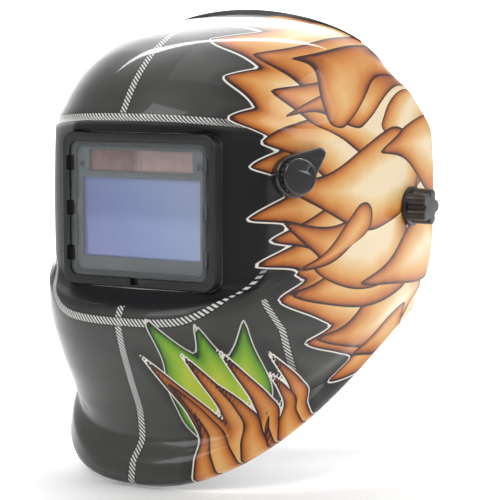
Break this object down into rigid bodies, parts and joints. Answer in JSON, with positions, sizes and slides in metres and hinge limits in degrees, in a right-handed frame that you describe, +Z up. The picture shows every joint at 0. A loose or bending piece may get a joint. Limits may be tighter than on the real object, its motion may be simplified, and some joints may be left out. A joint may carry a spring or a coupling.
{
  "type": "welding helmet",
  "caption": "Welding helmet with a tilting one-piece shell, an auto-darkening filter window, a cheek shade control and an adjustable ratchet headgear.",
  "frame": {"origin": "middle of the tilt axis, between the wearer's temples, at the headgear's head mount", "axes": "+Z up, the face looks along -Y, +X is the wearer's left; the shell tilts about X"},
  "size_m": [0.2846, 0.315, 0.335],
  "materials": {
    "shell_gloss": "moulded shell, printed and clear coated",
    "lip_plastic": "satin moulded edge",
    "frame_plastic": "fine textured black",
    "lens_clear": "clear polycarbonate sheet",
    "gasket_rubber": "black foam rubber",
    "case_plastic": "grey moulded case",
    "filter_coating": "blue-violet reflective filter glass",
    "solar_film": "reddish brown solar film",
    "board_green": "solder resist",
    "sensor_black": "dark lens",
    "battery_steel": "coin cell can",
    "control_gloss": "gloss black",
    "knob_black": "satin black",
    "brass_insert": "turned brass",
    "zinc_steel": "zinc plated",
    "washer_nylon": "natural nylon",
    "strap_plastic": "flexible black plastic",
    "bracket_plastic": "stiff black plastic",
    "pad_fabric": "padded fabric",
    "lead_jacket": "black PVC"
  },
  "bodies": {
    "headgear": {"headband": "strap_plastic", "rear_strap_left": "strap_plastic", "rear_strap_right": "strap_plastic", "ratchet_housing": "bracket_plastic", "ratchet_cover": "bracket_plastic", "click_spring": "zinc_steel", "crown_strap_left": "strap_plastic", "crown_strap_right": "strap_plastic", "crown_studs": "strap_plastic", "arm_rivets": "strap_plastic", "strap_rivets": "strap_plastic", "brow_pad": "pad_fabric", "nape_pad": "pad_fabric", "side_arm_left": "bracket_plastic", "side_arm_right": "bracket_plastic"},
    "ratchet_knob": {"ratchet_dial": "knob_black", "ratchet_pinion": "knob_black"},
    "left_carriage": {"carriage_left": "bracket_plastic", "tilt_limit_plate_left": "bracket_plastic", "friction_washer_left": "washer_nylon", "pivot_bolt_left": "zinc_steel"},
    "right_carriage": {"carriage_right": "bracket_plastic", "tilt_limit_plate_right": "bracket_plastic", "friction_washer_right": "washer_nylon", "pivot_bolt_right": "zinc_steel"},
    "left_tension_knob": {"tension_knob_left": "knob_black", "knob_insert_left": "brass_insert"},
    "right_tension_knob": {"tension_knob_right": "knob_black", "knob_insert_right": "brass_insert"},
    "shade_control": {"shade_knob": "control_gloss", "knob_spindle": "zinc_steel"},
    "latch": {"retaining_latch": "frame_plastic"},
    "sensitivity": {"sensitivity_dial": "knob_black"},
    "delay": {"delay_dial": "knob_black"},
    "test": {"test_button": "knob_black"},
    "battery_lid": {"battery_cover": "case_plastic"},
    "shell": {"arc_sensors": "sensor_black", "battery": "battery_steel", "cable_clip": "frame_plastic", "cartridge_case_front": "case_plastic", "cartridge_case_rear": "case_plastic", "cartridge_holder": "frame_plastic", "circuit_board": "board_green", "control_cable": "lead_jacket", "cover_lens": "lens_clear", "filter_glass": "filter_coating", "helmet_shell": "shell_gloss", "holder_screws": "zinc_steel", "inner_cover_plate": "lens_clear", "latch_pin": "zinc_steel", "lens_gasket": "gasket_rubber", "potentiometer": "zinc_steel", "potentiometer_nut": "zinc_steel", "rear_edge_lip": "lip_plastic", "shade_housing": "control_gloss", "solar_cells": "solar_film", "stop_pin_left": "zinc_steel", "stop_pin_right": "zinc_steel", "window_frame": "frame_plastic"}
  },
  "joints": [
    {"name": "left_slide", "type": "slide", "parent": "headgear", "child": "left_carriage", "axis": [0, 1, 0], "range_m": [-0.01, 0.01]},
    {"name": "right_slide", "type": "slide", "parent": "headgear", "child": "right_carriage", "axis": [0, 1, 0], "range_m": [-0.01, 0.01]},
    {"name": "shell_tilt", "type": "hinge", "parent": "left_carriage", "child": "shell", "pos_m": [0, 0, 0], "axis": [-1, 0, 0], "range_deg": [0, 80]},
    {"name": "left_tension", "type": "hinge", "parent": "left_carriage", "child": "left_tension_knob", "pos_m": [0.1338, 0, 0], "axis": [1, 0, 0], "range_deg": [-180, 180]},
    {"name": "right_tension", "type": "hinge", "parent": "right_carriage", "child": "right_tension_knob", "pos_m": [-0.1338, 0, 0], "axis": [-1, 0, 0], "range_deg": [-180, 180]},
    {"name": "shade_turn", "type": "hinge", "parent": "shell", "child": "shade_control", "pos_m": [0.10094, -0.13336, 0.028], "axis": [0.8522, -0.5226, 0.0266], "range_deg": [-135, 135]},
    {"name": "latch_swing", "type": "hinge", "parent": "shell", "child": "latch", "pos_m": [0, -0.1494, -0.044], "axis": [-1, 0, 0], "range_deg": [0, 75]},
    {"name": "sensitivity_turn", "type": "hinge", "parent": "shell", "child": "sensitivity", "pos_m": [-0.038, -0.1592, 0.037], "axis": [0, 1, 0], "range_deg": [-135, 135]},
    {"name": "delay_turn", "type": "hinge", "parent": "shell", "child": "delay", "pos_m": [-0.022, -0.1592, 0.037], "axis": [0, 1, 0], "range_deg": [-135, 135]},
    {"name": "test_press", "type": "slide", "parent": "shell", "child": "test", "axis": [0, -1, 0], "range_m": [0, 0.001], "stiffness_N_per_m": 300},
    {"name": "battery_lid_turn", "type": "hinge", "parent": "shell", "child": "battery_lid", "pos_m": [0.01, -0.1592, 0.037], "axis": [0, 1, 0], "range_deg": [0, 45]},
    {"name": "ratchet_turn", "type": "hinge", "parent": "headgear", "child": "ratchet_knob", "pos_m": [0, 0.10343, -0.00579], "axis": [0, 0.9703, -0.2419], "range_deg": [-270, 270]}
  ],
  "couplings": [
    {"joint": "right_slide", "follows": "left_slide", "ratio": 1}
  ]
}
